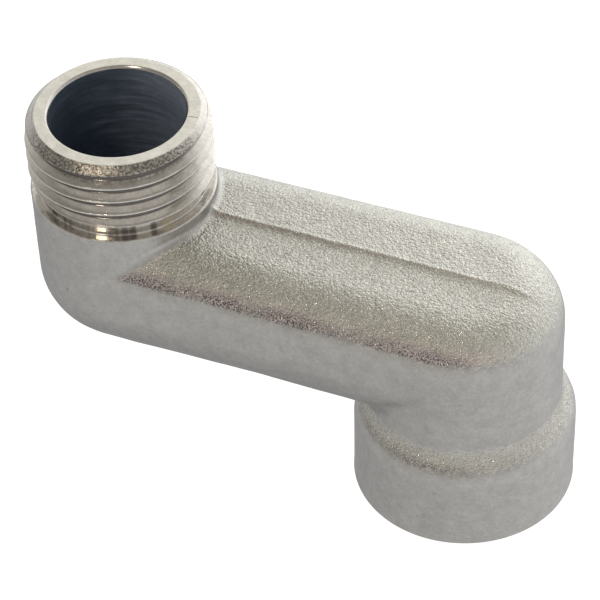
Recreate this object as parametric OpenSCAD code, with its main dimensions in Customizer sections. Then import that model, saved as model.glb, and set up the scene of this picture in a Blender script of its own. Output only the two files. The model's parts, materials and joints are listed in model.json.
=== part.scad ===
// Eccentric radiator fitting: one nickel-plated brass casting, machined at both ends.
// Millimetres. The origin is the centre of the socket's mouth, +Z runs along both
// thread axes and the spigot stands at x = -axis_offset.

/* [Layout] */
// Distance between the spigot's axis and the socket's axis
axis_offset = 40; // [32:0.5:60]
// Height of the spigot's end above the socket's mouth
overall_h = 40.5; // [39:0.5:50]

/* [Arm] */
// Height of the front half of the crown above the socket's mouth
crown_z = 28.8; // [28:0.1:30]
// How far the rear mould half stands proud of the front one on the crown
crown_step = 0.35; // [0.1:0.05:0.4]
// Thickness of the arm from belly to crown
arm_h = 17.1; // [16.5:0.1:18]
// Width of the arm at the spigot
arm_spigot_w = 20.9; // [20.7:0.1:23]
// Width of the arm at the socket
arm_socket_w = 21.7; // [21:0.1:24]
// Radius of the long upper edges and of the dome over the socket
crown_edge_r = 5.8; // [3:0.1:7]
// Radius of the long lower edges
belly_edge_r = 8.6; // [4:0.1:10]
// Thickness of the arm's floor and roof
arm_wall = 2.9; // [2:0.1:4]

/* [Spigot] */
// Crest diameter of the outer pipe thread
spigot_thread_d = 20.7; // [20.6:0.05:21]
// Length of the spigot from the ledge to its end
spigot_l = 9.8; // [9:0.1:14]
// Bevel at the start of the thread
spigot_bevel = 1.25; // [0.5:0.05:1.5]
// Width of the relief groove between the thread and the ledge
relief_w = 1.4; // [1:0.1:2]
// Diameter at the bottom of the relief groove
relief_d = 18.4; // [17.8:0.1:19]
// Height of the slope from the relief groove up to the thread
relief_slope = 0.6; // [0.3:0.05:1.2]
// Bevel on the edge of the ledge
ledge_bevel = 0.2; // [0.1:0.05:0.4]

/* [Water way] */
// Diameter of the bore, and width of the passage in the arm
bore_d = 15; // [12:0.1:15.6]
// Bevel at the end of the spigot's bore
bore_bevel = 0.25; // [0.1:0.05:0.6]
// Radius of the passage's long edges
passage_edge_r = 4.6; // [2:0.1:5.4]

/* [Socket] */
// Diameter of the socket at its mouth
socket_mouth_d = 24.9; // [24.2:0.1:28]
// Diameter of the socket under its shoulder
socket_d = 25.05; // [24.5:0.05:28.5]
// Height of the socket's wall up to the shoulder
socket_wall_h = 9.8; // [9:0.1:10.5]
// Rounding of the shoulder's outer edge
shoulder_r = 1.7; // [0.8:0.1:2]
// Tilt of the shoulder's slope from upright
shoulder_tilt = 66; // [50:1:75]
// Fillet between the shoulder and the neck
shoulder_foot_r = 1; // [0.5:0.1:1.5]
// Bevel round the outer edge of the mouth
mouth_edge = 0.15; // [0.1:0.05:0.6]
// Core diameter of the inner pipe thread
socket_thread_d = 18.63; // [18.2:0.01:19]
// Diameter of the bevel that leads into the inner thread
lead_in_d = 21.2; // [20.8:0.1:22]
// Depth of the inner thread, measured from the mouth
socket_thread_l = 8; // [7:0.1:8.4]
// Diameter of the run-out groove above the inner thread
run_out_d = 21; // [20.6:0.1:21.4]
// Height of the run-out groove
run_out_w = 1.2; // [0.8:0.1:1.4]

/* [Hidden] */
$fn = 96;
cast_metal = [0.75, 0.74, 0.70];
spigot_x = -axis_offset;
belly_z = crown_z - arm_h;
ledge_z = overall_h - spigot_l;
spigot_r = arm_spigot_w / 2;
neck_r = arm_socket_w / 2;
// The flanks of the arm lean outwards from the narrow end to the wide end.
flank_turn = asin((neck_r - spigot_r) / axis_offset);
flank_l = axis_offset * cos(flank_turn);
flank_overlap = abs(neck_r - spigot_r);
passage_lo = belly_z + arm_wall;
passage_hi = crown_z - arm_wall;
thread_top = socket_thread_l + run_out_w;
// A cut runs this far past the face that it opens.
past = 1;

// Half of an upright section, from the axis out to radius r, with its lower
// and upper outer corners rounded.
module rounded_half(r, lo, hi, lo_r, hi_r, inward = 0) {
    intersection() {
        union() {
            translate([-inward, lo + lo_r]) square([r + inward, hi - hi_r - lo - lo_r]);
            translate([-inward, lo]) square([r - lo_r + inward, hi - hi_r - lo]);
            translate([-inward, lo + lo_r]) square([r - hi_r + inward, hi - lo - lo_r]);
            if (lo_r > 0) translate([r - lo_r, lo + lo_r]) circle(r = lo_r);
            if (hi_r > 0) translate([r - hi_r, hi - hi_r]) circle(r = hi_r);
        }
        translate([-inward, lo]) square([r + inward, hi - lo]);
    }
}

// One long side of the arm, from the spigot's axis to the socket's axis.
// The other side is its mirror image.
module flank(hi) {
    translate([spigot_x, 0, 0])
        rotate([0, 0, flank_turn])
            rotate([90, 0, 90])
                linear_extrude(height = flank_l)
                    rounded_half(spigot_r, belly_z, hi, belly_edge_r, crown_edge_r, flank_overlap);
}

// The dome that closes the arm over the socket, down to the shoulder.
module dome(hi) {
    rotate_extrude()
        rounded_half(neck_r, socket_wall_h, hi, 0, crown_edge_r);
}

module arm(hi) {
    flank(hi);
    mirror([0, 1, 0]) flank(hi);
    dome(hi);
}

// The rear mould half sits a little higher on the crown than the front one.
module rear_crown() {
    intersection() {
        arm(crown_z + crown_step);
        translate([spigot_x, 0, belly_z])
            cube([axis_offset + arm_socket_w, arm_socket_w, arm_h + crown_step]);
    }
}

// The spigot's column: rounded foot, ledge, relief groove and thread.
module spigot() {
    thread_r = spigot_thread_d / 2;
    translate([spigot_x, 0, 0]) rotate_extrude() {
        rounded_half(spigot_r, belly_z, ledge_z - ledge_bevel, belly_edge_r, 0);
        polygon([
            [0, ledge_z - ledge_bevel],
            [spigot_r, ledge_z - ledge_bevel],
            [spigot_r - ledge_bevel, ledge_z],
            [relief_d / 2, ledge_z],
            [relief_d / 2, ledge_z + relief_w],
            [thread_r, ledge_z + relief_w + relief_slope],
            [thread_r, overall_h - spigot_bevel],
            [thread_r - spigot_bevel, overall_h],
            [0, overall_h]
        ]);
    }
}

// The socket: a slightly drafted wall, a rounded shoulder and a filleted foot.
module socket() {
    wall_r = socket_d / 2;
    round_at = [wall_r - shoulder_r, socket_wall_h];
    slope_top = round_at + shoulder_r * [cos(shoulder_tilt), sin(shoulder_tilt)];
    foot_x = neck_r + shoulder_foot_r * (1 - cos(shoulder_tilt));
    foot_y = slope_top[1] + (slope_top[0] - foot_x) / tan(shoulder_tilt);
    fillet_at = [neck_r + shoulder_foot_r, foot_y + shoulder_foot_r * sin(shoulder_tilt)];
    rotate_extrude() {
        polygon([
            [0, 0],
            [socket_mouth_d / 2 - mouth_edge, 0],
            [socket_mouth_d / 2, mouth_edge],
            [wall_r, socket_wall_h],
            [0, socket_wall_h]
        ]);
        intersection() {
            translate(round_at) circle(r = shoulder_r);
            translate([neck_r - shoulder_r, socket_wall_h]) square([socket_d, shoulder_r]);
        }
        difference() {
            polygon([
                [0, socket_wall_h],
                round_at,
                slope_top,
                [foot_x, foot_y],
                [neck_r, fillet_at[1]],
                [0, fillet_at[1]]
            ]);
            translate(fillet_at) circle(r = shoulder_foot_r);
        }
    }
}

// The cored passage along the arm, with the bores that turn up and down from it.
module water_way() {
    bore_r = bore_d / 2;
    for (x = [spigot_x, 0])
        translate([x, 0, 0])
            rotate_extrude()
                rounded_half(bore_r, passage_lo, passage_hi, passage_edge_r, passage_edge_r);
    for (side = [0, 1])
        mirror([0, side, 0])
            translate([spigot_x, 0, 0])
                rotate([90, 0, 90])
                    linear_extrude(height = axis_offset)
                        rounded_half(bore_r, passage_lo, passage_hi, passage_edge_r, passage_edge_r);
    passage_mid = (passage_lo + passage_hi) / 2;
    translate([spigot_x, 0, passage_mid]) cylinder(r = bore_r, h = overall_h + past - passage_mid);
    translate([spigot_x, 0, overall_h - bore_bevel])
        cylinder(r1 = bore_r, r2 = bore_r + bore_bevel + past, h = bore_bevel + past);
    translate([0, 0, thread_top - past]) cylinder(r = bore_r, h = passage_mid - thread_top + past);
}

// The threaded hole in the socket: lead-in bevel, thread core and run-out groove.
module thread_hole() {
    core_r = socket_thread_d / 2;
    bevel_h = (lead_in_d - socket_thread_d) / 2;
    translate([0, 0, -past]) cylinder(r = core_r, h = thread_top + past);
    translate([0, 0, -past])
        cylinder(r1 = core_r + bevel_h + past, r2 = core_r, h = bevel_h + past);
    translate([0, 0, socket_thread_l]) cylinder(r = run_out_d / 2, h = run_out_w);
}

module fitting_body() {
    color(cast_metal) difference() {
        union() {
            arm(crown_z);
            rear_crown();
            spigot();
            socket();
        }
        water_way();
        thread_hole();
    }
}

fitting_body();
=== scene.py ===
import json
import math
import bpy
import numpy as np
from mathutils import Matrix, Vector


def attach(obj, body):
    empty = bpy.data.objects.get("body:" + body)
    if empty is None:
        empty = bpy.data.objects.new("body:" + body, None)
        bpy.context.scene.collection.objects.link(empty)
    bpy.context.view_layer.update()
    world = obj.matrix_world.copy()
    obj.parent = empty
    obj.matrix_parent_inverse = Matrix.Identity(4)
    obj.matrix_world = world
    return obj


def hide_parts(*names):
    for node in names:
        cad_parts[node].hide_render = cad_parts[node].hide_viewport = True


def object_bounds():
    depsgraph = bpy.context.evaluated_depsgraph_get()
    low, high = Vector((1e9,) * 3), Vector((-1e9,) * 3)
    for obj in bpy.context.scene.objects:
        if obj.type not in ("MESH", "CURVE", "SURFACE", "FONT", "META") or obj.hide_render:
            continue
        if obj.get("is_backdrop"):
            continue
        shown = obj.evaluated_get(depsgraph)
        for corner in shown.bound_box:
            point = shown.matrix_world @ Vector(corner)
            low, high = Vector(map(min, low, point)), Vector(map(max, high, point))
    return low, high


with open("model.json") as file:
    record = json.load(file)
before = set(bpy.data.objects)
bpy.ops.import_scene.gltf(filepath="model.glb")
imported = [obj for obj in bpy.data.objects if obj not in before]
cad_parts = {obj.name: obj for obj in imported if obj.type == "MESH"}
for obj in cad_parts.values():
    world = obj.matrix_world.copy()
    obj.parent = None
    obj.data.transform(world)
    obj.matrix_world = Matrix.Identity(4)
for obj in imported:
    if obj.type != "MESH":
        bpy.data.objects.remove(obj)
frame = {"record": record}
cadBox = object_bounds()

# An eccentric radiator fitting: a nickel-plated brass casting with a turned spigot and a turned socket.
# Lengths below are millimetres and angles degrees; the mesh is written in metres.
# The spigot stands at x = -40 and the socket's mouth is centred on the origin, as in the CAD frame.
millimetre = 0.001

mounts = {m["name"]: m for m in frame["record"]["mounts"]}
spigotX = mounts["spigot_thread"]["pos_m"][0] / millimetre
crestRadius = mounts["spigot_thread"]["dims"]["r_mm"]
coreRadius = mounts["socket_thread"]["dims"]["r_mm"]
spigotTop = mounts["spigot_end"]["pos_m"][2] / millimetre
print("frame loaded: spigot at x", round(spigotX, 2), "top", round(spigotTop, 2))


# The camera, fitted to the photo's outline.
camera = {
    "place": (72.030, -203.985, 232.588),  # millimetres
    "yaw": -24.146,  # turn from +Y, to the left
    "pitch": 43.701,  # downwards
    "roll": -2.694,
    "lens": 166.858,  # on a sensor 36 mm wide
}


def addCamera(c):
    # forward = (sin yaw cos pitch, cos yaw cos pitch, -sin pitch); right and up are then rolled about it
    yaw, pitch, roll = (math.radians(c[k]) for k in ("yaw", "pitch", "roll"))
    forward = np.array((math.sin(yaw) * math.cos(pitch), math.cos(yaw) * math.cos(pitch), -math.sin(pitch)))
    right = np.array((math.cos(yaw), -math.sin(yaw), 0.0))
    up = np.cross(right, forward)
    across = math.cos(roll) * right + math.sin(roll) * up
    above = math.cos(roll) * up - math.sin(roll) * right
    data = bpy.data.cameras.new("photoCamera")
    data.lens = c["lens"]
    data.sensor_width = 36.0
    data.clip_start = 0.01
    data.clip_end = 20.0
    made = bpy.data.objects.new("photoCamera", data)
    bpy.context.scene.collection.objects.link(made)
    turn = Matrix((across, above, -forward)).transposed().to_4x4()
    made.matrix_world = Matrix.Translation([v * millimetre for v in c["place"]]) @ turn
    bpy.context.scene.camera = made


addCamera(camera)
print("camera set")


# The casting is one closed surface. Its section is carried from the spigot's flat end over the skin
# to the socket's mouth, and back inside through the water way.
casting = {
    "crownAtSpigot": 28.95,  # front half of the crown beside the spigot
    "crownAtSocket": 28.60,  # the crown falls a little towards the socket
    "partingStep": 0.34,  # the rear mould half stands this much proud
    "partingWidth": 1.25,  # width of the hollow that leads up to the step
    "partingPower": 2.4,  # how steeply the hollow ends
    "partingLip": (0.05, 0.16, 0.22),  # the rear half's edge: height, distance behind the step, width
    "rearRise": (-1.0, 5.0),  # over these y the dome climbs to the rear half, where the step has faded
    "partingAtSpigot": 0.12,  # where the step runs, across the crown, beside the spigot
    "partingAtSocket": 0.04,  # and over the socket
    "partingEnd": (5.0, 9.0),  # it fades out over these x, in the dome
    "belly": 11.7,  # height of the arm's underside
    "spigotRadius": 10.38,  # half the arm's width at the spigot
    "neckRadius": 10.86,  # half the arm's width at the socket
    "crownEdge": 5.8,  # radius of the long upper edges
    "bellyEdge": 8.8,  # radius of the long lower edges
    "columnBellyEdge": 8.1,  # and of the rounding under the spigot
    "columnFillet": 0.9,  # between the spigot's column and the crown
    "columnFilletFrom": ((1.0, 7.0), (22.5, 26.5)),  # opens over these distances from the axis and heights
    "neckFillet": 1.2,  # between the arm's lower edges and the neck
    "neckFilletFrom": ((2.0, 8.0), (15.0, 19.5)),  # opens over these distances, closes over these heights
    "neckDepth": 2.0,  # the neck reaches this far into the socket
    "shoulderRound": 1.7,  # radius of the shoulder's outer edge
    "shoulderTilt": 67.0,  # slope of the shoulder's normal
    "shoulderFillet": 1.3,
    "wallTop": 9.8,  # height of the socket's wall up to its shoulder
    "wallTopRadius": 12.38,
    "mouthRadius": 12.45,
    "socketLean": 0.13,  # the wall's top is this much off the mouth's centre, away from the spigot
    "mouthEdge": 0.06,  # radius of the mouth's outer edge
    "ledge": 30.7,  # the ledge under the relief groove
    "grooveTop": 32.2,
    "grooveRadius": 9.25,
    "ledgeBevel": 0.15,
    "threadPitch": 1.814,
    "threadFlank": 1.921,  # radial fall of a flank for each millimetre along the axis
    "threadRoot": 9.33,
    "crestHalf": 0.08,  # half the width of a crest's flat
    "crestRound": 0.14,  # softening of crests and roots
    "bevelRound": 0.08,  # and of the end bevel's edge
    "crestPhase": 38.14,  # height of one crest at the angle below
    "crestAngle": -61.3,
    "endRim": 9.1,  # outer radius of the flat end
    "endBevel": (1.25, 0.45, 45.0),  # radial growth per millimetre, the swing in it, and where it is most
    "runOutSlope": 1.9,  # radial growth per millimetre, from the relief groove up to the thread
    "boreRadius": 7.5,
    "boreBevel": 0.24,
    "passageLow": 14.6,  # heights of the cored passage
    "passageHigh": 25.9,
    "passageEdge": 4.6,
    "passageFillet": 0.8,
    "leadInRadius": 10.6,
    "innerPhase": 0.7,  # the inner thread's crests lie this much lower than the outer helix carried on
    "innerPlay": 0.1,  # its roots are this much wider than the outer crests
    "innerThreadEnd": 8.0,
    "runOutRadius": 10.5,
    "runOutTop": 9.2,
    "skinLine": 25.4,  # the arm is blasted above this height
    "columnGap": 0.35,  # and this far off the spigot's column
    "shoulderSkin": (10.75, 12.9, 1.2),  # so is the shoulder, between two heights and this far up the neck
    "unevenness": 0.03,  # slow waves of the cast skin
    "columns": 196,
    "gather": 0.62,  # how strongly the columns gather along the crown's parting step
}
g = casting


def roundedCorner(a, b, radius):
    # inside of two faces at once, their common edge rounded: min(max(a, b), -r) + the length of the
    # positive parts of (a + r, b + r)
    outer = np.hypot(np.maximum(a + radius, 0.0), np.maximum(b + radius, 0.0))
    return np.minimum(np.maximum(a, b), -radius) + outer


def filletedJoin(a, b, radius):
    # two bodies joined with a fillet: max(min(a, b), r) - the length of the positive parts of (r - a, r - b)
    inner = np.hypot(np.maximum(radius - a, 0.0), np.maximum(radius - b, 0.0))
    return np.maximum(np.minimum(a, b), radius) - inner


def taperedOutline(x, y, startRadius, endRadius):
    # distance in plan to two circles, at the spigot and at the socket, with their common tangents
    length = -spigotX
    along = x - spigotX
    across = np.abs(y)
    slope = (startRadius - endRadius) / length
    lean = math.sqrt(1.0 - slope * slope)
    side = across * lean + along * slope - startRadius
    first = np.hypot(along, across) - startRadius
    last = np.hypot(along - length, across) - endRadius
    reach = along - across * slope / lean
    return np.where(reach < 0.0, first, np.where(reach > length, last, side))


def smoothStep(a, low, high):
    # t t (3 - 2 t), where t runs from 0 at low to 1 at high
    t = np.clip((a - low) / (high - low), 0.0, 1.0)
    return t * t * (3.0 - 2.0 * t)


def partingY(x):
    # the step's straight line: a + (b - a) (x - spigot's x) / length
    part = np.clip((x - spigotX) / -spigotX, 0.0, 1.3)
    return g["partingAtSpigot"] + (g["partingAtSocket"] - g["partingAtSpigot"]) * part


def crownHeight(x, y):
    # a plane that falls towards the socket; a hollow climbs by a power of the way across it to the
    # rear half, whose lip is height exp(-(distance / width)^2)
    part = np.clip((x - spigotX) / -spigotX, 0.0, 1.2)
    plain = g["crownAtSpigot"] + (g["crownAtSocket"] - g["crownAtSpigot"]) * part
    beyond = y - partingY(x)
    climb = np.clip(beyond / g["partingWidth"] + 1.0, 0.0, 1.0) ** g["partingPower"]
    lipHeight, lipOff, lipWidth = g["partingLip"]
    lip = np.exp(-((beyond - lipOff) / lipWidth) ** 2) * lipHeight
    fade = 1.0 - smoothStep(x, *g["partingEnd"])
    rear = smoothStep(y, *g["rearRise"]) * (1.0 - fade)
    return plain + g["partingStep"] * (climb * fade + rear) + lip * fade


def slowWaves(x, y, z):
    # a sum of long sine waves, for the slight unevenness of a cast and linished skin
    w = np.sin(0.61 * x + 0.33 * y + 1.3) * np.sin(0.47 * y - 0.29 * z + 0.4)
    w = w + 0.6 * np.sin(1.13 * x - 0.71 * z + 2.1) * np.sin(0.93 * y + 0.37 * x)
    return w + 0.4 * np.sin(1.9 * z + 0.8 * x) * np.sin(1.6 * y - 1.1 * x + 0.7)


def armDistance(x, y, z):
    # tapered outline between belly and crown, both edges rounded
    plan = taperedOutline(x, y, g["spigotRadius"], g["neckRadius"])
    upper = roundedCorner(plan, z - crownHeight(x, y), g["crownEdge"])
    widening = smoothStep(x, spigotX, spigotX / 2)
    edge = g["columnBellyEdge"] + (g["bellyEdge"] - g["columnBellyEdge"]) * widening
    lower = roundedCorner(plan, g["belly"] - z, edge)
    return np.maximum(upper, lower)


def neckDistance(x, y, z):
    # upright cylinder over the socket, rounded at the crown and open below, where the socket takes over
    plan = np.hypot(x, y) - g["neckRadius"]
    upper = roundedCorner(plan, z - crownHeight(x, y), g["crownEdge"])
    return np.maximum(upper, g["wallTop"] - g["neckDepth"] - z)


def columnDistance(x, y, z):
    # upright cylinder under the spigot, rounded at its foot
    plan = np.hypot(x - spigotX, y) - g["spigotRadius"]
    return roundedCorner(plan, g["belly"] - z, g["columnBellyEdge"])


def socketDistance(x, y, z):
    # drafted wall under a sloped shoulder, a plane tilted about the ring, the edge between them rounded
    ring = np.hypot(x - g["socketLean"] * np.clip(z / g["wallTop"], 0.0, 1.2), y)
    draft = (g["wallTopRadius"] - g["mouthRadius"]) / g["wallTop"]
    wall = ring - g["mouthRadius"] - draft * z
    tilt = math.radians(g["shoulderTilt"])
    roundAt = g["wallTopRadius"] - g["shoulderRound"]
    slope = (ring - roundAt) * math.cos(tilt) + (z - g["wallTop"]) * math.sin(tilt) - g["shoulderRound"]
    return roundedCorner(wall, slope, g["shoulderRound"])


def skinDistance(x, y, z):
    # arm, column, neck and socket joined; a fillet opens only where two of them meet at an angle
    columnAway, columnHeights = g["columnFilletFrom"]
    neckAway, neckHeights = g["neckFilletFrom"]
    atColumn = smoothStep(x - spigotX, *columnAway) * smoothStep(z, *columnHeights)
    atNeck = smoothStep(-x, *neckAway) * (1.0 - smoothStep(z, *neckHeights))
    upper = filletedJoin(armDistance(x, y, z), columnDistance(x, y, z), g["columnFillet"] * atColumn)
    upper = filletedJoin(upper, neckDistance(x, y, z), g["neckFillet"] * atNeck)
    whole = filletedJoin(upper, socketDistance(x, y, z), g["shoulderFillet"])
    return whole + g["unevenness"] * (1.0 + 0.5 * slowWaves(x, y, z))


def voidDistance(x, y, z):
    # cored passage along the arm, with a bore up from one end and a bore down from the other
    plan = taperedOutline(x, y, g["boreRadius"], g["boreRadius"])
    upper = roundedCorner(plan, z - g["passageHigh"], g["passageEdge"])
    lower = roundedCorner(plan, g["passageLow"] - z, g["passageEdge"])
    middle = (g["passageLow"] + g["passageHigh"]) / 2
    spigotBore = np.maximum(np.hypot(x - spigotX, y) - g["boreRadius"], middle - z)
    socketBore = np.maximum(np.hypot(x, y) - g["boreRadius"], z - middle)
    joined = filletedJoin(np.maximum(upper, lower), spigotBore, g["passageFillet"])
    return filletedJoin(joined, socketBore, g["passageFillet"])


def solveRadius(distance, rows, theta, far=34.0, stride=0.5, halvings=26):
    # the first radius at which the distance turns positive on each ray, stepped outwards and then halved;
    # no ray passes its row's pivot, whose distance along it is reach / cos theta
    toPivot = rows["side"][:, None] * np.cos(theta)[None, :]
    near = toPivot > 1e-6
    pivotAt = (rows["reach"][:, None] - 0.01) / np.where(near, toPivot, 1.0)
    limit = np.where(near, np.minimum(far, pivotAt), far)
    low = np.zeros(limit.shape)
    high = limit.copy()
    within = np.ones(limit.shape, bool)
    for r in np.arange(stride, far + stride, stride):
        radius = np.minimum(r, limit)
        outside = distance(*sectionPoint(rows, theta, radius)) > 0.0
        high = np.where(within & outside, radius, high)
        within &= ~outside
        low = np.where(within, radius, low)
        if not within.any():
            break
    for _ in range(halvings):
        radius = (low + high) / 2
        outside = distance(*sectionPoint(rows, theta, radius)) > 0.0
        high = np.where(outside, radius, high)
        low = np.where(outside, low, radius)
    return (low + high) / 2


def sectionPoint(rows, theta, radius):
    # centre + radius (cos theta e + sin theta y), with e tilted from +X towards +Z by the row's angle
    out = radius * np.cos(theta)
    tilt = rows["tilt"][:, None]
    x = rows["x"][:, None] + out * np.cos(tilt)
    y = radius * np.sin(theta)
    z = rows["z"][:, None] + out * np.sin(tilt)
    return x, y, z


def makeRows(x, z, tilt, reach=99.0, side=0.0):
    # the sections' centres and tilts; a single value is repeated over all rows
    full = {"x": x, "z": z, "tilt": tilt, "reach": reach, "side": side}
    count = max(np.size(v) for v in full.values())
    return {k: np.broadcast_to(np.asarray(v, float), (count,)) for k, v in full.items()}


def fanRows(pivot, angles, reachFlat, reachUpright, bulge, side):
    # sections fanned about a pivot; reach = flat + (upright - flat) angle / 90 degrees + bulge sin(2 angle)
    part = angles / (math.pi / 2)
    reach = reachFlat + (reachUpright - reachFlat) * part + bulge * np.sin(2 * angles)
    x = pivot[0] - side * reach * np.cos(angles)
    z = pivot[1] - side * reach * np.sin(angles)
    return makeRows(x, z, angles, reach=reach, side=side)


def threadFall(height, theta):
    # distance along the axis from a right-hand helix: pitch |p - round p|, where p = height / pitch - turn
    turn = (theta - math.radians(g["crestAngle"])) / (2 * math.pi)
    phase = (height - g["crestPhase"]) / g["threadPitch"] - turn
    return np.abs(phase - np.round(phase)) * g["threadPitch"]


def softMax(a, b, width):
    # max(a, b) + gap^2 width / 4, where gap falls from 1 at a = b to 0 at a difference of one width
    gap = np.maximum(width - np.abs(a - b), 0.0) / width
    return np.maximum(a, b) + gap * gap * width / 4


def spigotProfile(height, theta):
    # crest, flanks and root of the helix, cut by the end bevel and by the slope into the relief groove
    fall = np.maximum(threadFall(height, theta) - g["crestHalf"], 0.0) * g["threadFlank"]
    tooth = -softMax(-(crestRadius - fall), -crestRadius, g["crestRound"])
    tooth = softMax(tooth, np.full_like(tooth, g["threadRoot"]), g["crestRound"])
    growth, swing, most = g["endBevel"]
    bevel = g["endRim"] + (spigotTop - height) * (growth + swing * np.cos(theta - math.radians(most)))
    tooth = -softMax(-tooth, -bevel, g["bevelRound"])
    runOut = g["grooveRadius"] + np.maximum(height - g["grooveTop"], 0.0) * g["runOutSlope"]
    return np.minimum(tooth, runOut)


def innerProfile(height, theta):
    # the same form turned inwards for the socket's thread, cut by the lead-in bevel
    fall = threadFall(height + g["innerPhase"], theta) - g["crestHalf"]
    fall = np.maximum(fall, 0.0) * g["threadFlank"]
    tooth = coreRadius + np.minimum(fall, crestRadius + g["innerPlay"] - coreRadius)
    return np.maximum(tooth, g["leadInRadius"] - height)


castSkin, turnedSkin, boreSkin, flatSkin = range(4)


def buildCasting():
    # theta = u - k sin u gathers the columns along theta = 0, the crown's centre line; the surface is a
    # list of rows of points round an axis, which bends with the section at two pivots
    u = np.arange(g["columns"]) * 2 * math.pi / g["columns"]
    theta = u - g["gather"] * np.sin(u)
    theta = np.where(theta > math.pi, theta - 2 * math.pi, theta)
    tables = []

    def add(x, y, z, kind):
        tables.append((x, y, z, np.full(x.shape, kind, float)))

    def ringRows(x, heights, radii, kind):
        # plain rings about an upright axis
        rows = makeRows(x, np.asarray(heights, float), 0.0)
        add(*sectionPoint(rows, theta, np.asarray(radii, float)[:, None] * np.ones(len(theta))), kind)

    def profileRows(x, heights, profile):
        # rings about an upright axis, their radius a function of height and angle
        radius = profile(*np.meshgrid(heights, theta, indexing="ij"))
        add(*sectionPoint(makeRows(x, heights, 0.0), theta, radius), turnedSkin)

    def fieldRows(distance, rows, kind):
        # sections through a field, where its distance is nought
        add(*sectionPoint(rows, theta, solveRadius(distance, rows, theta)), kind)

    quarter = math.pi / 2
    boreEdge = g["boreRadius"] + g["boreBevel"]
    # the spigot from its flat end down to the ledge, rows close together at each edge
    flatR = [boreEdge + 0.02, boreEdge + 0.12, g["endRim"] - 0.12, g["endRim"] - 0.03]
    ringRows(spigotX, [spigotTop] * 4, flatR, flatSkin)
    profileRows(spigotX, np.arange(spigotTop - 0.02, g["grooveTop"] + 0.02, -0.085), spigotProfile)
    top, ledge, groove = g["grooveTop"], g["ledge"], g["grooveRadius"]
    grooveZ = [top, top - 0.1, top - 0.6, ledge + 0.4, ledge + 0.12, ledge + 0.03]
    ringRows(spigotX, grooveZ, [groove] * 5 + [groove + 0.05], turnedSkin)
    lip = g["spigotRadius"] - g["ledgeBevel"]
    ledgeR = [groove + 0.15, groove + 0.45, groove + 0.75, lip - 0.08, lip - 0.01]
    ringRows(spigotX, [ledge] * 5, ledgeR, turnedSkin)
    ringRows(spigotX, [ledge - 0.03, ledge - 0.12], [lip + 0.04, lip + 0.12], turnedSkin)

    # the cast body: a fan of sections about a pivot over the arm, the arm, a fan under it, the wall
    firstX, firstZ = -28.4, ledge - 0.22
    secondX, secondZ = -13.6, 10.2
    axisZ = 20.4
    turn = np.linspace(0.0, quarter, 64)[:-1]
    fan = fanRows((firstX, firstZ), turn, firstX - spigotX, firstZ - axisZ, 2.0, 1.0)
    fieldRows(skinDistance, fan, castSkin)
    fieldRows(skinDistance, makeRows(np.linspace(firstX, secondX, 40), axisZ, quarter), castSkin)
    turn = np.radians(np.concatenate((np.linspace(90.0, 9.0, 58)[1:], np.linspace(9.0, 0.0, 28)[1:])))
    fan = fanRows((secondX, secondZ), turn, -secondX, axisZ - secondZ, 2.3, -1.0)
    fieldRows(skinDistance, fan, castSkin)
    wallZ = np.concatenate((np.linspace(secondZ, 0.5, 15)[1:], [0.36]))
    fieldRows(skinDistance, makeRows(0.0, wallZ, 0.0), castSkin)

    # the mouth's edge and face, then the socket's thread from the mouth inwards
    bend = np.radians(np.linspace(0.0, 90.0, 5))
    edgeR = g["mouthRadius"] - g["mouthEdge"] * (1 - np.cos(bend))
    ringRows(0.0, g["mouthEdge"] * (1 - np.sin(bend)), edgeR, castSkin)
    mouthR = [g["mouthRadius"] - 0.6, g["leadInRadius"] + 0.3, g["leadInRadius"] + 0.02]
    ringRows(0.0, [0.0] * 3, mouthR, turnedSkin)
    profileRows(0.0, np.arange(0.02, g["innerThreadEnd"], 0.12), innerProfile)
    end, land, wide, bore = g["innerThreadEnd"], g["runOutTop"], g["runOutRadius"], g["boreRadius"]
    runOutZ = [end + 0.02, end + 0.08, end + 0.6, land - 0.08, land]
    ringRows(0.0, runOutZ, [wide - 0.05, wide, wide, wide, wide - 0.06], turnedSkin)
    ringRows(0.0, [land] * 3, [wide - 0.9, wide - 2.1, bore + 0.06], turnedSkin)

    # the water way: up the socket's bore, along the passage, up the spigot's bore
    innerX, innerZ = -8.3, 13.6
    outerX, outerZ = -31.7, g["passageHigh"] + 0.9
    middle = (g["passageLow"] + g["passageHigh"]) / 2
    ringRows(0.0, [land + 0.08, land + 0.4, land + 1.4, land + 2.7, land + 3.8], [bore] * 5, boreSkin)
    turn = np.linspace(0.0, quarter, 26)
    fan = fanRows((innerX, innerZ), turn, -innerX, middle - innerZ, 1.3, -1.0)
    fieldRows(voidDistance, fan, boreSkin)
    fieldRows(voidDistance, makeRows(np.linspace(innerX, outerX, 18)[1:-1], middle, quarter), boreSkin)
    fan = fanRows((outerX, outerZ), turn[::-1], outerX - spigotX, outerZ - middle, 1.3, 1.0)
    fieldRows(voidDistance, fan, boreSkin)
    heights = np.linspace(outerZ, spigotTop - g["boreBevel"] - 0.05, 14)[1:]
    ringRows(spigotX, heights, [bore] * 13, boreSkin)
    bevelZ = [spigotTop - g["boreBevel"], spigotTop - 0.02]
    ringRows(spigotX, bevelZ, [bore + 0.01, boreEdge - 0.01], turnedSkin)

    return [np.concatenate([t[k] for t in tables]) for k in range(4)]


def grainEdge(x, y, z):
    # millimetres inside the blasted skin: the larger of crown = min(height over its line, distance off the
    # column) and shoulder = min(distances to its two heights, distance off the neck)
    arm = armDistance(x, y, z)
    crown = np.minimum(z - g["skinLine"], columnDistance(x, y, z) - arm - g["columnGap"])
    low, high, upNeck = g["shoulderSkin"]
    body = np.minimum(arm, neckDistance(x, y, z))
    onShoulder = body - socketDistance(x, y, z) + upNeck
    return np.maximum(crown, np.minimum(np.minimum(z - low, high - z), onShoulder))


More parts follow.
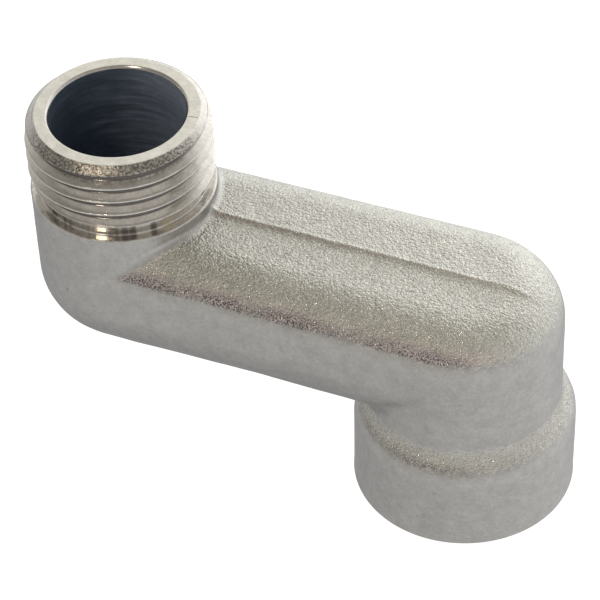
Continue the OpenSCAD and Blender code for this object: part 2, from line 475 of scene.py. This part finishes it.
def gridFaces(rowCount, columnCount):
    # quads (i, j), (i + 1, j), (i + 1, j + 1), (i, j + 1), both directions closed on themselves
    i, j = np.meshgrid(np.arange(rowCount), np.arange(columnCount), indexing="ij")
    nextI = (i + 1) % rowCount
    nextJ = (j + 1) % columnCount
    corners = ((i, j), (nextI, j), (nextI, nextJ), (i, nextJ))
    return np.stack([row * columnCount + column for row, column in corners], -1).reshape(-1, 4)


def meshFromGrid(name, x, y, z, values):
    # writes the grid in metres, smooth shaded, with one point attribute for each named array
    quads = gridFaces(*x.shape)
    mesh = bpy.data.meshes.new(name)
    mesh.vertices.add(x.size)
    mesh.vertices.foreach_set("co", (np.stack((x, y, z), -1).reshape(-1) * millimetre).astype(np.float32))
    mesh.loops.add(quads.size)
    mesh.loops.foreach_set("vertex_index", quads.reshape(-1).astype(np.int32))
    mesh.polygons.add(len(quads))
    mesh.polygons.foreach_set("loop_start", (np.arange(len(quads)) * 4).astype(np.int32))
    mesh.update(calc_edges=True)
    mesh.polygons.foreach_set("use_smooth", np.ones(len(quads), bool))
    for key, array in values.items():
        layer = mesh.attributes.new(key, "FLOAT", "POINT")
        layer.data.foreach_set("value", array.reshape(-1).astype(np.float32))
    mesh.validate()
    made = bpy.data.objects.new(name, mesh)
    bpy.context.scene.collection.objects.link(made)
    return made


x, y, z, kind = buildCasting()
print("casting: rows", x.shape[0], "columns", x.shape[1], "triangles", 2 * x.size)
attributes = {
    "grainEdge": np.where(kind == castSkin, grainEdge(x, y, z), -5.0),
    "turned": (kind == turnedSkin).astype(float),
    "bored": (kind == boreSkin).astype(float),
    "faced": (kind == flatSkin).astype(float),
}
fitting = meshFromGrid("castFitting", x, y, z, attributes)
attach(fitting, "root")
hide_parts("fitting_body")


class Wire:
    # a socket that sums can be written with; each operator adds a Math node
    def __init__(self, net, socket):
        self.net = net
        self.socket = socket

    def math(self, operation, first, second=0.0):
        return self.net.wire("ShaderNodeMath", {"operation": operation}, {0: first, 1: second})

    def __add__(self, other):
        return self.math("ADD", self, other)

    __radd__ = __add__

    def __sub__(self, other):
        return self.math("SUBTRACT", self, other)

    def __rsub__(self, other):
        return self.math("SUBTRACT", other, self)

    def __mul__(self, other):
        return self.math("MULTIPLY", self, other)

    __rmul__ = __mul__

    def __truediv__(self, other):
        return self.math("DIVIDE", self, other)

    def __rtruediv__(self, other):
        return self.math("DIVIDE", other, self)

    def __pow__(self, other):
        return self.math("POWER", self, other)

    def __rpow__(self, other):
        return self.math("POWER", other, self)

    def __abs__(self):
        return self.math("ABSOLUTE", self)

    def __round__(self):
        return self.math("ROUND", self)

    def atLeast(self, other):
        return self.math("MAXIMUM", self, other)

    def angleFrom(self, other):
        # the angle whose sine goes with this wire and whose cosine with the other
        return self.math("ARCTAN2", self, other)

    def ramp(self, low, high):
        # 0 below low, 1 above high, t t (3 - 2 t) between
        settings = {"interpolation_type": "SMOOTHSTEP"}
        sockets = {"Value": self, "From Min": low, "From Max": high}
        return self.net.wire("ShaderNodeMapRange", settings, sockets)


class Net:
    # the node tree of one material or of the world
    def __init__(self, tree):
        tree.nodes.clear()
        self.tree = tree

    def node(self, kind, settings=None, sockets=None):
        made = self.tree.nodes.new(kind)
        for name, value in (settings or {}).items():
            setattr(made, name, value)
        for name, value in (sockets or {}).items():
            if isinstance(value, Wire):
                self.tree.links.new(value.socket, made.inputs[name])
            else:
                made.inputs[name].default_value = value
        return made

    def wire(self, kind, settings=None, sockets=None, output=0):
        return Wire(self, self.node(kind, settings, sockets).outputs[output])

    def mixed(self, factor, first, second):
        # two colours mixed by a factor: first + factor (second - first)
        return self.wire("ShaderNodeMix", {"data_type": "RGBA"}, {0: factor, 6: first, 7: second}, 2)


finish = {
    "grainSize": 4100.0,  # bumps per metre, roughly
    "grainDepth": 0.00026,  # metres
    "roughness": 0.36,  # of the linished sides
    "glintPolish": 0.24,  # less than that in the grain's glints
    "turnedPolish": 0.18,  # and on the turned parts
    "edgeTint": (0.76, 0.77, 0.79, 1.0),  # the metal's reflection near grazing
    "smoothColour": (0.635, 0.62, 0.60, 1.0),
    "grainColour": (0.735, 0.725, 0.665, 1.0),
    "turnedColour": (0.75, 0.72, 0.675, 1.0),
    "facedColour": (0.87, 0.85, 0.765, 1.0),
    # painted highlight along the thread's crests and on the parting step's lip
    "crestColour": (0.95, 0.93, 0.88, 1.0),
    # painted shade in the thread's roots
    "rootColour": (0.13, 0.11, 0.11, 1.0),
    "bevelColour": (0.235, 0.215, 0.185, 1.0),  # darker patches over the end bevel's front side
    "pitColour": (0.13, 0.10, 0.12, 1.0),
    "borderColour": (0.46, 0.405, 0.40, 1.0),  # along the grain's lower border, and painted shade in the step's hollow
    "boreColour": (0.095, 0.125, 0.165, 1.0),
    # painted light on the bore's right wall
    "boreRightColour": (0.50, 0.57, 0.71, 1.0),
    "stainColour": (0.22, 0.19, 0.18, 1.0),  # painted dark reflection bars in the relief groove
    # painted warm bright reflection bars in the relief groove
    "brassColour": (0.86, 0.77, 0.62, 1.0),
    "blushColour": (0.74, 0.65, 0.615, 1.0),  # pink band over the grain's lower border
    "pinholes": (  # x, y, z, radius, millimetres
        (-43.1, -9.86, 21.6, 0.14), (-1.0, -12.4, 3.2, 0.12),
        (-47.6, -7.2, 31.7, 0.30), (-47.3, -7.4, 32.6, 0.24)),
    "scratch": ((-32.4, 1.72), (-31.2, 1.89)),  # from and to, on the flat end, x and y
}


def makeNickelPlate(f):
    # height and colour are sums of noises, each times the mask of the zone it belongs to
    material = bpy.data.materials.new("nickelPlate")
    material.use_nodes = True
    net = Net(material.node_tree)
    place = net.wire("ShaderNodeTexCoord", output="Object")
    apart = net.node("ShaderNodeSeparateXYZ", None, {"Vector": place})
    acrossX, acrossY, level = (Wire(net, apart.outputs[k]) / millimetre for k in range(3))

    def mask(name):
        return net.wire("ShaderNodeAttribute", {"attribute_name": name}, output="Fac")

    def noise(scale, detail=2.0, roughness=0.5, stretch=None):
        vector = place
        if stretch:
            vector = net.wire("ShaderNodeMapping", None, {"Vector": place, "Scale": stretch})
        return net.wire("ShaderNodeTexNoise", None, {
            "Vector": vector, "Scale": scale, "Detail": detail, "Roughness": roughness})

    edge = mask("grainEdge")
    turned = mask("turned")
    bored = mask("bored")
    faced = mask("faced")
    cast = 1.0 - turned - bored - faced
    ledge, grooveTop = g["ledge"], g["grooveTop"]
    skinLine, shoulderLine = g["skinLine"], g["shoulderSkin"][0]

    # the helix again: millimetres above the nearest crest, from height and angle about the spigot's axis
    outX = acrossX - spigotX
    ring = (outX * outX + acrossY * acrossY) ** 0.5
    turn = (acrossY.angleFrom(outX) - math.radians(g["crestAngle"])) / (2 * math.pi)
    phase = (level - g["crestPhase"]) / g["threadPitch"] - turn
    fromCrest = (phase - round(phase)) * g["threadPitch"]
    onThread = turned * level.ramp(grooveTop + 0.2, grooveTop + 0.5)
    onBevel = onThread * level.ramp(spigotTop - 1.35, spigotTop - 1.15)
    onTeeth = onThread - onBevel
    onGroove = turned * level.ramp(ledge - 0.1, ledge + 0.1)
    onGroove = onGroove * (1.0 - level.ramp(grooveTop - 0.1, grooveTop + 0.2))
    front = ((outX * 0.3 - acrossY) / ring).ramp(0.1, 0.75)

    # blasted skin with frayed borders, sharp pits along its lower border
    grain = (edge + (noise(1500.0) - 0.5) * 1.8).ramp(-0.5, 0.45)
    pebbles = noise(f["grainSize"], 1.5, 0.7)
    cells = net.wire("ShaderNodeTexVoronoi", {"feature": "SMOOTH_F1"}, {
        "Vector": place, "Scale": f["grainSize"] * 0.6, "Smoothness": 0.3})
    patches = noise(330.0, 2.0).ramp(0.3, 0.7)
    alongArm = level.ramp(skinLine - 0.6, skinLine) * (1.0 - level.ramp(skinLine + 0.3, skinLine + 1.6))
    alongArm = alongArm * edge.ramp(-0.6, 0.2) * (0.55 + patches * 0.6)
    alongArm = alongArm * (1.0 - (acrossX - acrossY * 0.25).ramp(2.0, 9.0) * 0.9)
    underSlope = level.ramp(shoulderLine - 0.45, shoulderLine + 0.05)
    underSlope = underSlope * (1.0 - level.ramp(shoulderLine + 0.25, shoulderLine + 0.95))
    border = alongArm + underSlope * (0.25 + patches * 0.3) * (1.0 - acrossX.ramp(2.0, 9.0))
    pits = noise(5600.0, 1.5, 0.7).ramp(0.475, 0.61) * border * cast
    satin = noise(2600.0, 3.0, 0.7)
    lathe = noise(1.0, 2.0, 0.6, (160.0, 160.0, 14000.0))
    burr = noise(3600.0, 2.0, 0.7)
    bars = noise(1.0, 2.5, 0.6, (420.0, 420.0, 30.0))
    crest = (1.0 - abs(fromCrest).ramp(0.09, 0.16)) * onTeeth
    height = grain * (pebbles * 0.75 - cells * 0.35) - pits * 0.3
    height = height + (1.0 - grain) * cast * satin * 0.20
    height = height + turned * lathe * 0.04 + onBevel * front * burr * 0.25
    height = height + (onTeeth * 0.15 + onGroove * 0.5) * bars + crest * burr * 0.15
    height = height + faced * satin * 0.04 + bored * lathe * 0.08
    bump = net.wire("ShaderNodeBump", None, {
        "Strength": 1.0, "Distance": f["grainDepth"], "Height": height})

    # linished sides, blasted crown, its border and pink band
    mottle = noise(700.0, 4.0, 0.65)
    colour = net.mixed(grain, f["smoothColour"], f["grainColour"])
    colour = net.mixed(border * 0.45 * cast, colour, f["borderColour"])
    colour = net.mixed(grain * (1.0 - level.ramp(14.0, 16.0)) * 0.2, colour, f["borderColour"])
    blush = level.ramp(skinLine - 0.4, skinLine + 0.2) * (1.0 - level.ramp(skinLine + 0.6, skinLine + 2.0))
    blush = blush * (0.3 + patches * 0.7) * grain * (1.0 - acrossX.ramp(4.0, 9.0))
    colour = net.mixed(blush, colour, f["blushColour"])

    # painted shade in the hollow in front of the parting step and a painted highlight on its lip, then the
    # border's pits and the pinholes
    onCrown = grain * level.ramp(g["crownAtSocket"] - 0.6, g["crownAtSocket"] - 0.3)
    slope = (g["partingAtSocket"] - g["partingAtSpigot"]) / -spigotX
    beyond = acrossY - outX * slope - g["partingAtSpigot"]
    hollowShade = beyond.ramp(-0.8, -0.1) * (1.0 - beyond.ramp(-0.12, 0.03)) * (1.0 - acrossX.ramp(-32.0, 8.0))
    colour = net.mixed(hollowShade * onCrown * 0.65, colour, f["borderColour"])
    # painted highlight on the rear half's lip
    lip = beyond.ramp(-0.05, 0.08) * (1.0 - beyond.ramp(0.25, 0.5)) * (1.0 - acrossX.ramp(3.0, 8.0))
    colour = net.mixed(lip * onCrown * 0.4, colour, f["crestColour"])
    colour = net.mixed(pits * 0.87, colour, f["pitColour"])
    for *centre, radius in f["pinholes"]:
        centre = [v * millimetre for v in centre]
        away = net.wire("ShaderNodeVectorMath", {"operation": "DISTANCE"}, {0: place, 1: centre}, "Value")
        spot = 1.0 - away.ramp(radius * 0.6 * millimetre, radius * 1.3 * millimetre)
        colour = net.mixed(spot * 0.5, colour, f["pitColour"])

    # turned parts: painted highlights on the crests over painted shade in the roots, darker patches on the
    # end bevel's front, painted dark and warm reflections in the groove
    colour = net.mixed(turned, colour, f["turnedColour"])
    # painted shade in the roots, heavier on the front side; then a painted highlight along each crest
    root = onTeeth * (1.0 - ring.ramp(g["threadRoot"] + 0.03, g["threadRoot"] + 0.22))
    colour = net.mixed(root * (0.25 + front * 0.6), colour, f["rootColour"])
    colour = net.mixed(crest, colour, f["crestColour"])
    colour = net.mixed(onBevel * front * burr.ramp(0.65, 0.35), colour, f["bevelColour"])
    # painted dark and warm reflections in the mirror-like relief groove
    colour = net.mixed(onGroove * (1.0 - bars.ramp(0.38, 0.47)) * 0.75, colour, f["stainColour"])
    colour = net.mixed(onGroove * bars.ramp(0.55, 0.62) * 0.6, colour, f["brassColour"])
    colour = net.mixed(faced, colour, f["facedColour"])

    # the scratch on the flat end, from the distances along its line and off it
    (fromX, fromY), (toX, toY) = f["scratch"]
    length = math.hypot(toX - fromX, toY - fromY)
    stepX, stepY = (toX - fromX) / length, (toY - fromY) / length
    alongIt = (acrossX - fromX) * stepX + (acrossY - fromY) * stepY
    offIt = (acrossY - fromY) * stepX - (acrossX - fromX) * stepY
    scratch = (1.0 - abs(offIt).ramp(0.03, 0.10)) * alongIt.ramp(-0.1, 0.2)
    scratch = scratch * (1.0 - alongIt.ramp(length - 0.2, length + 0.1)) * faced
    colour = net.mixed(scratch * 0.7, colour, f["pitColour"])

    # the bore in its own dark colour, with painted light on its right wall; then the slow unevenness of the
    # whole plate, and painted light brightening the grain towards the socket
    swirl = noise(1.0, 3.0, 0.7, (120.0, 120.0, 1400.0))
    boreLitSide = (outX + (swirl - 0.5) * 16.0).ramp(-8.0, 7.0)
    colour = net.mixed(bored, colour, net.mixed(boreLitSide, f["boreColour"], f["boreRightColour"]))
    # mottle and satin unevenness, and painted light: the grain brighter towards the socket
    mottleAndPaintedLight = 0.75 + (mottle + (satin - 0.5) * 0.9) * 0.48 + grain * acrossX.ramp(-32.0, 2.0) * 0.10
    colour = net.wire("ShaderNodeVectorMath", {"operation": "SCALE"}, {0: colour, "Scale": mottleAndPaintedLight})

    glint = noise(5000.0, 1.0).ramp(0.52, 0.66)
    roughness = f["roughness"] + grain * (0.02 - glint * f["glintPolish"]) - turned * f["turnedPolish"]
    roughness = roughness + faced * 0.04 + bored * 0.16
    roughness = roughness + (mottle - 0.5) * 0.12 * cast + onBevel * front * 0.08
    shader = net.wire("ShaderNodeBsdfPrincipled", None, {
        "Base Color": colour,
        "Metallic": 1.0 - bored * 0.75,
        "Specular Tint": f["edgeTint"],
        "Roughness": roughness,
        "Normal": bump,
    })
    net.node("ShaderNodeOutputMaterial", None, {"Surface": shader})
    return material


fitting.data.materials.append(makeNickelPlate(finish))
print("materials made")


# The floor and the light.
studio = {
    "floorSide": 6.0,  # metres
    "floorDrop": 0.00003,
    "floorColour": (0.80, 0.80, 0.79, 1.0),
    "floorGlow": 0.85,  # lifts the pale floor towards white
    "ambient": 0.58,  # even light round about, as the metal sees it
    "ambientAbove": 0.29,  # from above
    "ambientBelow": 0.42,  # and from straight below
    "ambientRight": 0.10,  # added to the right and taken away to the left
    "window": 1.05,  # added by the tall soft light behind the object
    "windowAim": (0.05, 1.0),  # level direction towards it, x and y
    "windowSpread": 3.8,  # the larger, the narrower
    "windowFoot": (-0.65, 0.05),  # heights over which it comes in
    "windowHead": (0.64, 1.0),  # and fades out
    "cards": (  # soft cards low on the right and high on the left: direction, narrowness, light
        ((0.45, 0.55, -0.70), 12.0, 0.18),
        ((-0.80, 0.43, 0.40), 12.0, 0.30)),
    "lampFrom": (-0.14, -0.70, 0.70),  # direction towards the small lamp
    "lampReach": 0.8,  # metres
    "lampSize": 0.08,
    "lampGlow": 26.0,  # brightness of its disc
    "lampColour": (1.0, 0.86, 0.66),
    "coolTint": (1.0, 1.0, 0.99, 1.0),
    "warmTint": (1.0, 0.95, 0.86, 1.0),
}


def addFloor(s):
    # a square just under the socket's mouth, with a glow so that it shows white
    half = s["floorSide"] / 2
    mesh = bpy.data.meshes.new("studioFloor")
    corners = [(x * half, y * half, -s["floorDrop"]) for x, y in ((-1, -1), (1, -1), (1, 1), (-1, 1))]
    mesh.from_pydata(corners, [], [(0, 1, 2, 3)])
    made = bpy.data.objects.new("studioFloor", mesh)
    bpy.context.scene.collection.objects.link(made)
    made.visible_glossy = False
    made.visible_shadow = False
    material = bpy.data.materials.new("paleFloor")
    material.use_nodes = True
    net = Net(material.node_tree)
    shader = net.wire("ShaderNodeBsdfPrincipled", None, {
        "Base Color": s["floorColour"],
        "Roughness": 0.9,
        "Emission Color": (1.0, 1.0, 1.0, 1.0),
        "Emission Strength": s["floorGlow"],
    })
    net.node("ShaderNodeOutputMaterial", None, {"Surface": shader})
    mesh.materials.append(material)
    made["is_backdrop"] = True


def lightWorld(s):
    # ambient + right x + window exp(spread (cos of the azimuth from it - 1)) between its foot and head
    # + light exp(narrowness (cos of the angle from it - 1)) for each card
    world = bpy.data.worlds.new("softStudio")
    bpy.context.scene.world = world
    world.use_nodes = True
    net = Net(world.node_tree)
    towards = net.wire("ShaderNodeTexCoord", output="Generated")

    def along(*direction):
        sockets = {0: towards, 1: direction}
        return net.wire("ShaderNodeVectorMath", {"operation": "DOT_PRODUCT"}, sockets, "Value")

    height = along(0.0, 0.0, 1.0)
    level = (1.0 - height * height).atLeast(0.004) ** 0.5
    cosine = along(*Vector((*s["windowAim"], 0.0)).normalized()) / level
    lobe = math.e ** ((cosine - 1.0) * s["windowSpread"])
    lobe = lobe * height.ramp(*s["windowFoot"]) * (1.0 - height.ramp(*s["windowHead"]))
    even = s["ambient"] + height.ramp(-0.25, 0.5) * (s["ambientAbove"] - s["ambient"])
    even = even + height.ramp(-0.6, -1.0) * (s["ambientBelow"] - s["ambient"])
    strength = along(s["ambientRight"], 0.0, 0.0) + even + lobe * s["window"]
    for direction, narrowness, light in s["cards"]:
        off = along(*Vector(direction).normalized()) - 1.0
        strength = strength + math.e ** (off * narrowness) * light
    warmth = (height * 0.8 - along(0.2, 0.3, 0.0)).ramp(-0.1, 0.8)
    tint = net.mixed(warmth * (1.0 - lobe), s["coolTint"], s["warmTint"])
    shader = net.wire("ShaderNodeBackground", None, {"Color": tint, "Strength": strength})
    net.node("ShaderNodeOutputWorld", None, {"Surface": shader})


def addLamp(s):
    # a small round lamp over the front, aimed at the object; power = glow pi^2 size^2 / 4
    data = bpy.data.lights.new("frontLamp", "AREA")
    data.shape = "DISK"
    data.size = s["lampSize"]
    data.energy = s["lampGlow"] * math.pi * math.pi * s["lampSize"] ** 2 / 4
    data.color = s["lampColour"]
    made = bpy.data.objects.new("frontLamp", data)
    bpy.context.scene.collection.objects.link(made)
    towards = Vector(s["lampFrom"]).normalized()
    centre = Vector((spigotX / 2, 0.0, spigotTop / 2)) * millimetre
    made.location = centre + towards * s["lampReach"]
    made.rotation_euler = towards.to_track_quat("Z", "Y").to_euler()


addFloor(studio)
lightWorld(studio)
addLamp(studio)
bpy.context.scene.view_settings.view_transform = "Standard"
print("studio lit")

{"cad": [list(v) for v in cadBox], "visual": [list(v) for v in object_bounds()]}
